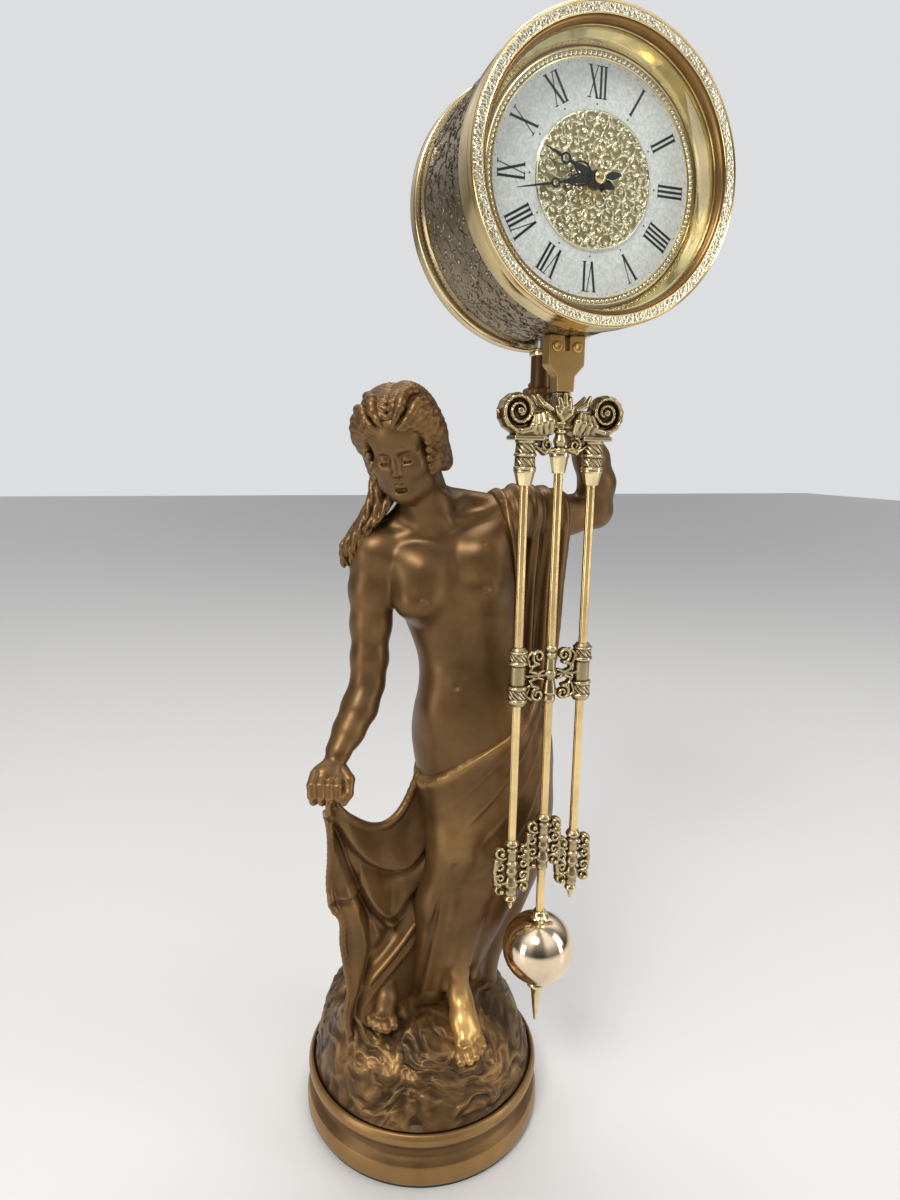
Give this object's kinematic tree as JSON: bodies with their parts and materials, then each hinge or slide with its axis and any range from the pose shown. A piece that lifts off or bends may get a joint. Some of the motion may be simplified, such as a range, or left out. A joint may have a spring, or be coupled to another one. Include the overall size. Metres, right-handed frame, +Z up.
{
  "type": "mystery clock",
  "caption": "Table clock whose drum and long pendulum swing as one from the raised hand of a draped standing figure on a round moulded foot.",
  "frame": {"origin": "centre of the round foot on the table", "axes": "+Z up; the dial looks along -Y; +X to the right as the dial is faced"},
  "size_m": [0.1983, 0.1565, 0.5882],
  "materials": {
    "felt": "matte",
    "plinth_bronze": "satin, dark brown patina",
    "figure_bronze": "satin, brown patina with rubbed edges",
    "gilt_brass": "polished",
    "case_brass": "polished, engraved",
    "antique_brass": "satin, darkened in the hollows",
    "rod_brass": "polished",
    "bob_brass": "polished",
    "steel": "satin",
    "dial_silver": "matte",
    "hand_black": "satin",
    "clear_glass": "clear",
    "black_plastic": "matte",
    "battery_foil": "satin",
    "cover_steel": "satin"
  },
  "bodies": {
    "stand": {"base_felt": "felt", "base_plinth": "plinth_bronze", "rock_mound": "figure_bronze", "figure_body": "figure_bronze", "raised_arm": "figure_bronze", "lowered_arm": "figure_bronze", "figure_head": "figure_bronze", "hair_locks": "figure_bronze", "shoulder_cloth": "figure_bronze", "hand_swag": "figure_bronze", "support_post": "figure_bronze", "post_collar": "gilt_brass", "knife_seat": "steel"},
    "swinger": {"bezel_flange": "gilt_brass", "recess_ring": "antique_brass", "dial_glass": "clear_glass", "polished_band": "gilt_brass", "case_band": "case_brass", "back_rim": "gilt_brass", "dial_plate": "dial_silver", "dial_centre": "dial_silver", "dial_bead_ring": "gilt_brass", "movement_case": "black_plastic", "dial_nut": "gilt_brass", "battery": "battery_foil", "knife_hanger": "steel", "knife_edge": "steel", "swing_drive": "black_plastic", "pendulum_block": "antique_brass", "block_screws": "gilt_brass", "capital_casting": "antique_brass", "middle_lattice": "antique_brass", "lower_crown": "antique_brass", "rod_left": "rod_brass", "rod_right": "rod_brass", "rod_centre": "rod_brass", "rod_ferrules": "antique_brass", "drop_finials": "antique_brass", "bob": "bob_brass", "bob_finial": "antique_brass"},
    "minute_train": {"minute_hand": "hand_black", "minute_arbor": "steel", "hand_cap": "gilt_brass", "set_knob": "black_plastic"},
    "hour_train": {"hour_hand": "hand_black", "hour_pipe": "steel"},
    "back_door": {"back_cover": "cover_steel"}
  },
  "joints": [
    {"name": "swing", "type": "hinge", "parent": "stand", "child": "swinger", "pos_m": [0.05502, -0.046, 0.46807], "axis": [0, 1, 0], "range_deg": [-7, 7]},
    {"name": "minute_spin", "type": "hinge", "parent": "swinger", "child": "minute_train", "pos_m": [0.05502, -0.06, 0.52087], "axis": [0, 1, 0], "continuous": true},
    {"name": "hour_spin", "type": "hinge", "parent": "swinger", "child": "hour_train", "pos_m": [0.05502, -0.06, 0.52087], "axis": [0, 1, 0], "continuous": true},
    {"name": "back_cover_pull", "type": "slide", "parent": "swinger", "child": "back_door", "axis": [0, 1, 0], "range_m": [0, 0.05]}
  ],
  "couplings": [
    {"joint": "hour_spin", "follows": "minute_spin", "ratio": 0.083333}
  ]
}
